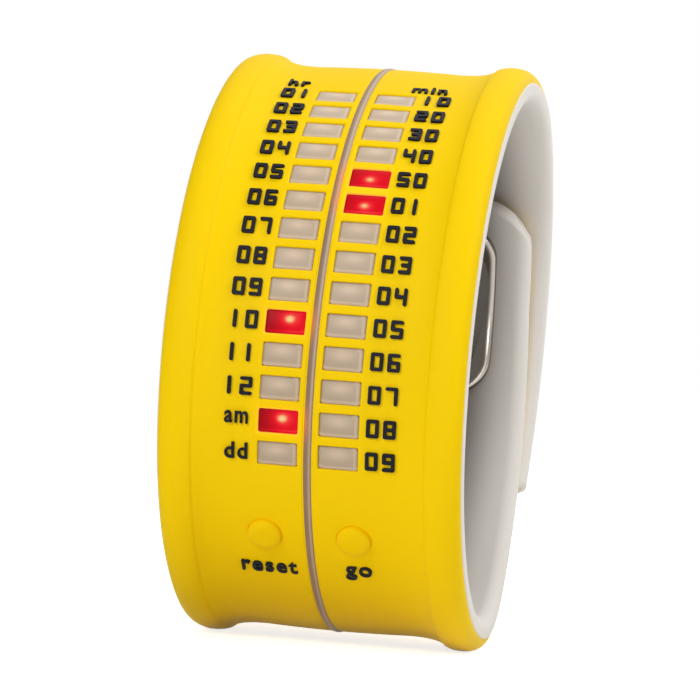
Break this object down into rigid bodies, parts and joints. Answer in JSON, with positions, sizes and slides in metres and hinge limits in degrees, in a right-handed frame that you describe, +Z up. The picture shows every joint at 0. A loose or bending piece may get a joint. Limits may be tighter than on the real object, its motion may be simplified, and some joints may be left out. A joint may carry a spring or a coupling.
{
  "type": "wrist-worn led ladder clock",
  "caption": "Wrist-worn LED clock: two ladders of small windows down a broad two-tone silicone band with a raised centre bead, two push buttons and an overlapping strap closure.",
  "frame": {"origin": "centre of the closed band's oval, midway across the band", "axes": "+X across the band along the wrist, -Y towards the viewer of the face, +Z up as the watch stands in the reference view, with the oval's long axis tipped back 30 degrees towards +Y"},
  "size_m": [0.0324, 0.0602, 0.064],
  "materials": {
    "yellow_silicone": "satin",
    "pale_silicone": "matt",
    "light_guide": "satin translucent",
    "board": "satin",
    "led": "gloss",
    "chip": "matt",
    "crystal": "brushed",
    "ceramic": "satin",
    "resistor": "satin",
    "switch": "satin",
    "plunger": "satin",
    "carrier": "matt",
    "cell": "brushed",
    "contact": "bright",
    "gasket": "matt",
    "cover": "brushed",
    "screw": "satin",
    "insert": "turned",
    "clasp_steel": "polished",
    "button_silicone": "satin"
  },
  "bodies": {
    "case": {"case_skin": "yellow_silicone", "case_liner": "pale_silicone", "light_guide": "light_guide", "led_board": "board", "leds_hours": "led", "leds_minutes": "led", "led_resistors": "resistor", "controller_chip": "chip", "timing_crystal": "crystal", "capacitors": "ceramic", "reset_switch": "switch", "go_switch": "switch", "board_carrier": "carrier", "upper_cell": "cell", "lower_cell": "cell", "negative_contacts": "contact", "positive_contact": "contact", "battery_gasket": "gasket", "battery_cover": "cover", "cover_screws": "screw", "cover_inserts": "insert"},
    "reset_button": {"reset_button": "button_silicone", "reset_plunger": "plunger"},
    "go_button": {"go_button": "button_silicone", "go_plunger": "plunger"},
    "upper_strap": {"upper_strap_skin": "yellow_silicone", "upper_strap_liner": "pale_silicone"},
    "lower_strap": {"lower_strap_skin": "yellow_silicone", "lower_strap_liner": "pale_silicone", "clasp_plate": "clasp_steel", "clasp_studs": "clasp_steel"}
  },
  "joints": [
    {"name": "upper_flex", "type": "hinge", "parent": "case", "child": "upper_strap", "pos_m": [0, 0.01374, 0.02986], "axis": [1, 0, 0], "range_deg": [0, 95], "stiffness_Nm_per_rad": 0.05, "springref_deg": -8.59},
    {"name": "lower_flex", "type": "hinge", "parent": "case", "child": "lower_strap", "pos_m": [0, 0.01278, -0.02498], "axis": [1, 0, 0], "range_deg": [-24, 0], "stiffness_Nm_per_rad": 0.05, "springref_deg": 8.59},
    {"name": "reset_press", "type": "slide", "parent": "case", "child": "reset_button", "axis": [0, 0.8136, 0.5814], "range_m": [0, 0.00025], "stiffness_N_per_m": 800, "springref_m": -0.0003},
    {"name": "go_press", "type": "slide", "parent": "case", "child": "go_button", "axis": [0, 0.8136, 0.5814], "range_m": [0, 0.00025], "stiffness_N_per_m": 800, "springref_m": -0.0003}
  ],
  "couplings": [
    {"joint": "lower_flex", "follows": "upper_flex", "ratio": -0.25}
  ]
}
